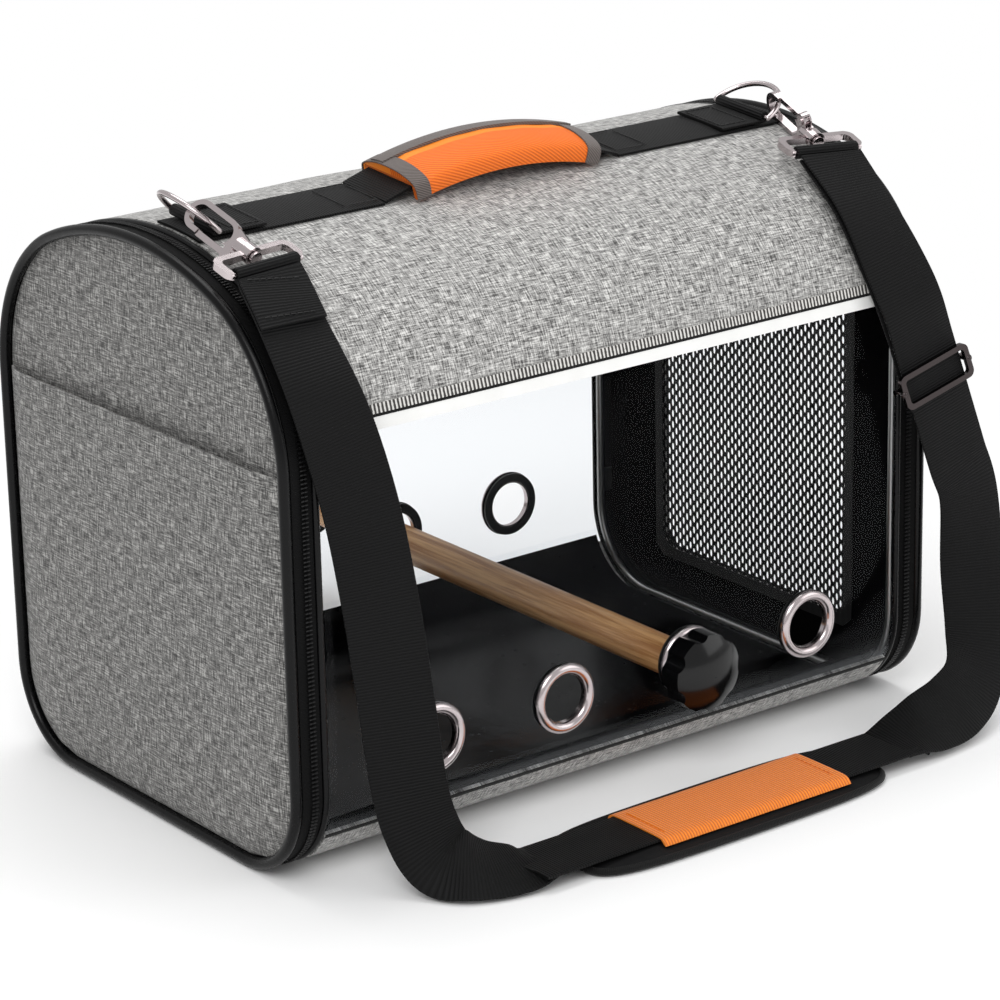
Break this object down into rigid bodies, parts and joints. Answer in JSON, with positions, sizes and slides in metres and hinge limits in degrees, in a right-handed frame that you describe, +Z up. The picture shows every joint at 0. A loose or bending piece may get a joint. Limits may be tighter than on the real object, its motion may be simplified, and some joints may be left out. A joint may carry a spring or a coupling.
{
  "type": "bird travel carrier",
  "caption": "Arched soft-sided bird carrier with clear windows, a perch, zip-round end doors and a clip-on shoulder strap.",
  "frame": {"origin": "centre of the flat bottom", "axes": "+X to the far mesh end, +Z up, -Y to the front window"},
  "size_m": [0.4493, 0.4528, 0.3329],
  "materials": {
    "grey_cloth": "melange woven",
    "dark_grey_cloth": "melange woven",
    "black_lining": "smooth coated",
    "black_mat": "wipe-clean sheet",
    "board": "plain",
    "clear_sheet": "clear soft sheet",
    "dark_trim": "bound tape",
    "piping": "shiny piping",
    "zip_coil": "coil",
    "net": "knitted net",
    "zip_metal": "black",
    "hoop_wire": "spring wire",
    "eyelet_black": "moulded",
    "wood": "smooth dowel",
    "steel": "plain",
    "knob_black": "moulded",
    "webbing": "ribbed webbing",
    "orange_cloth": "padded",
    "brown_twill": "twill tape",
    "nickel": "warm nickel",
    "black_nickel": "dark nickel",
    "pad_cloth": "padded"
  },
  "bodies": {
    "carrier": {"roof_panel": "grey_cloth", "roof_lining": "black_lining", "front_window": "clear_sheet", "back_window": "clear_sheet", "window_bindings": "dark_trim", "floor_panel": "grey_cloth", "base_board": "board", "floor_mat": "black_mat", "front_eyelets": "nickel", "back_eyelets": "nickel", "eyelet_washers": "eyelet_black", "end_hoops": "hoop_wire", "edge_pipings": "piping", "frame_zip_tapes": "dark_trim", "frame_zip_coils": "zip_coil", "ridge_webbing": "webbing", "ring_tabs": "webbing", "handle_webbing": "webbing", "handle_pad": "orange_cloth", "handle_binding": "brown_twill", "near_swivel_loop": "nickel", "far_swivel_loop": "nickel", "strap_webbing": "webbing", "strap_end_loops": "webbing"},
    "near_door": {"near_door_panel": "dark_grey_cloth", "near_door_board": "black_lining", "near_pocket": "dark_grey_cloth", "near_piping": "piping", "near_door_tape": "dark_trim", "near_door_coil": "zip_coil"},
    "far_door": {"far_door_panel": "grey_cloth", "far_door_lining": "black_lining", "far_mesh": "net", "far_piping": "piping", "far_door_tape": "dark_trim", "far_door_coil": "zip_coil"},
    "near_zip": {"near_zip_slider": "zip_metal"},
    "near_pull": {"near_zip_pull": "zip_metal"},
    "far_zip": {"far_zip_slider": "zip_metal"},
    "far_pull": {"far_zip_pull": "zip_metal"},
    "perch": {"perch": "wood", "perch_studs": "steel"},
    "front_knob": {"front_knob": "knob_black"},
    "back_knob": {"back_knob": "knob_black"},
    "near_ring": {"near_ring": "nickel"},
    "far_ring": {"far_ring": "nickel"},
    "near_hook": {"near_hook": "nickel", "near_rivet": "nickel"},
    "near_gate": {"near_gate": "nickel"},
    "far_hook": {"far_hook": "nickel", "far_rivet": "nickel"},
    "far_gate": {"far_gate": "nickel"},
    "strap_slider": {"strap_slider": "black_nickel", "strap_return": "webbing"},
    "shoulder_pad": {"shoulder_pad": "pad_cloth", "pad_sleeve": "orange_cloth"}
  },
  "joints": [
    {"name": "near_door_hinge", "type": "hinge", "parent": "carrier", "child": "near_door", "pos_m": [-0.207, 0, 0.003], "axis": [0, -1, 0], "range_deg": [0, 90]},
    {"name": "far_door_hinge", "type": "hinge", "parent": "carrier", "child": "far_door", "pos_m": [0.207, 0, 0.003], "axis": [0, 1, 0], "range_deg": [0, 90]},
    {"name": "near_zip_slide", "type": "slide", "parent": "carrier", "child": "near_zip", "axis": [0, 0, 1], "range_m": [0, 0.13]},
    {"name": "far_zip_slide", "type": "slide", "parent": "carrier", "child": "far_zip", "axis": [0, 0, 1], "range_m": [0, 0.13]},
    {"name": "near_pull_hinge", "type": "hinge", "parent": "near_zip", "child": "near_pull", "pos_m": [-0.1972, 0.136, 0.064], "axis": [1, 0, 0], "range_deg": [0, 150]},
    {"name": "far_pull_hinge", "type": "hinge", "parent": "far_zip", "child": "far_pull", "pos_m": [0.1972, 0.136, 0.064], "axis": [1, 0, 0], "range_deg": [0, 150]},
    {"name": "perch_slide", "type": "slide", "parent": "carrier", "child": "perch", "axis": [0, -1, 0], "range_m": [0, 0.079]},
    {"name": "front_knob_turn", "type": "hinge", "parent": "perch", "child": "front_knob", "pos_m": [0.0415, -0.14, 0.0593], "axis": [0, -1, 0], "continuous": true},
    {"name": "back_knob_turn", "type": "hinge", "parent": "perch", "child": "back_knob", "pos_m": [0.0415, 0.22, 0.0593], "axis": [0, 1, 0], "continuous": true},
    {"name": "near_ring_hinge", "type": "hinge", "parent": "carrier", "child": "near_ring", "pos_m": [-0.178, -0.01638, 0.31615], "axis": [0, 0.9968, 0.08], "range_deg": [-5, 3]},
    {"name": "far_ring_hinge", "type": "hinge", "parent": "carrier", "child": "far_ring", "pos_m": [0.178, -0.01638, 0.31615], "axis": [0, 0.9968, 0.08], "range_deg": [-3, 5]},
    {"name": "near_hook_swivel", "type": "hinge", "parent": "carrier", "child": "near_hook", "pos_m": [-0.18159, -0.0834, 0.30666], "axis": [-0.0875, 0.945, 0.315], "range_deg": [-15, 10]},
    {"name": "far_hook_swivel", "type": "hinge", "parent": "carrier", "child": "far_hook", "pos_m": [0.17859, -0.08397, 0.30521], "axis": [0.1632, 0.9468, 0.2775], "range_deg": [-15, 15]},
    {"name": "near_gate_hinge", "type": "hinge", "parent": "near_hook", "child": "near_gate", "pos_m": [-0.18845, -0.06146, 0.30876], "axis": [0.7044, 0.2823, -0.6513], "range_deg": [0, 21], "stiffness_Nm_per_rad": 0.05, "springref_deg": -17.19},
    {"name": "far_gate_hinge", "type": "hinge", "parent": "far_hook", "child": "far_gate", "pos_m": [0.18039, -0.06476, 0.31788], "axis": [-0.953, 0.2241, -0.204], "range_deg": [0, 21], "stiffness_Nm_per_rad": 0.05, "springref_deg": -17.19},
    {"name": "strap_length", "type": "slide", "parent": "carrier", "child": "strap_slider", "axis": [-0.286, 0.0953, 0.9535], "range_m": [-0.03, 0.012], "deforming": ["strap_return"]},
    {"name": "pad_slide", "type": "slide", "parent": "carrier", "child": "shoulder_pad", "axis": [1, 0, 0], "range_m": [-0.015, 0.015]}
  ]
}
